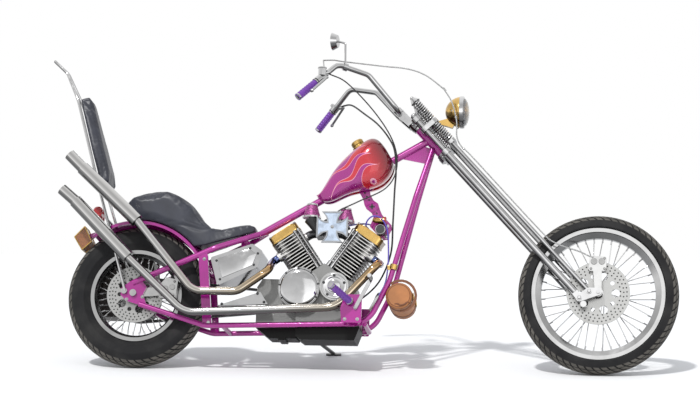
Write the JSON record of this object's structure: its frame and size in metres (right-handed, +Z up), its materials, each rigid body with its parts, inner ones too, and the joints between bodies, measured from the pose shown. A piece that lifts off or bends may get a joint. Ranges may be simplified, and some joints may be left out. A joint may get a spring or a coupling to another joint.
{
  "type": "chopper motorcycle",
  "caption": "Chopper motorcycle with a long springer fork, a finned V-twin engine, a stepped seat with a tall backrest and upswept exhausts, leaning on its side stand.",
  "frame": {"origin": "bottom centre of the bounding box, on the floor", "axes": "+X forward, +Y to the left of the rider, +Z up; the machine leans to the left on its stand"},
  "size_m": [3.0068, 0.9346, 1.5728],
  "materials": {
    "magenta_paint": "gloss metallic",
    "flame_paint": "gloss, flames",
    "chrome": "mirror",
    "polished_alloy": "polished",
    "cast_alloy": "cast, fins bright",
    "gold_paint": "gold",
    "black_steel": "satin black",
    "disc_steel": "brushed",
    "tyre": "matt",
    "vinyl": "dark blue-grey vinyl",
    "tan_leather": "tan",
    "dark_leather": "black",
    "violet_rubber": "violet",
    "red_lens": "red",
    "amber_lens": "copper",
    "cross_paint": "silver blue"
  },
  "bodies": {
    "chassis": {"frame": "magenta_paint", "rear_axle": "chrome", "rear_fender": "magenta_paint", "seat": "vinyl", "sissy_bar": "chrome", "backrest": "vinyl", "fuel_tank": "flame_paint", "tank_cap": "gold_paint", "crankcase": "black_steel", "front_cylinder": "cast_alloy", "rear_cylinder": "cast_alloy", "rocker_covers": "gold_paint", "engine_covers": "polished_alloy", "primary_cover": "chrome", "drive_chain": "disc_steel", "gearbox_cover": "chrome", "carburettor": "cast_alloy", "air_cleaner": "cross_paint", "exhaust_front": "chrome", "exhaust_rear": "chrome", "battery_box": "chrome", "tool_bag": "tan_leather", "saddlebag": "dark_leather", "tail_lamp": "red_lens", "marker_lamp": "amber_lens", "coil_bracket": "magenta_paint", "bullet_lamp": "gold_paint", "rear_caliper": "polished_alloy", "control_plates": "chrome", "foot_pegs": "violet_rubber", "foot_levers": "chrome"},
    "steering": {"fork_rear_legs": "chrome", "fork_front_legs": "chrome", "fork_springs": "chrome", "fork_trees": "chrome", "spring_perch": "chrome", "fork_rockers": "chrome", "front_caliper": "polished_alloy", "handlebar": "chrome", "risers": "chrome", "grips": "violet_rubber", "hand_levers": "chrome", "mirror": "chrome", "headlight": "gold_paint"},
    "front_wheel_set": {"front_tyre": "tyre", "front_wheel": "chrome", "front_disc": "disc_steel"},
    "rear_wheel_set": {"rear_tyre": "tyre", "rear_wheel": "chrome", "rear_disc": "disc_steel", "rear_sprocket": "disc_steel"},
    "stand": {"side_stand": "black_steel"}
  },
  "joints": [
    {"name": "steering", "type": "hinge", "parent": "chassis", "child": "steering", "pos_m": [1.06722, -0.14686, 0.30085], "axis": [-0.6756, 0.2032, 0.7087], "range_deg": [-28, 32]},
    {"name": "front_wheel_spin", "type": "hinge", "parent": "steering", "child": "front_wheel_set", "pos_m": [1.13353, -0.13313, 0.36012], "axis": [0.0257, 0.9672, -0.2528], "continuous": true},
    {"name": "rear_wheel_spin", "type": "hinge", "parent": "chassis", "child": "rear_wheel_set", "pos_m": [-1.02643, -0.14061, 0.32266], "axis": [0, 0.9613, -0.2756], "continuous": true},
    {"name": "side_stand", "type": "hinge", "parent": "chassis", "child": "stand", "pos_m": [-0.22643, -0.03381, 0.14363], "axis": [0.061, 0.3383, 0.9391], "range_deg": [0, 92.9]}
  ]
}
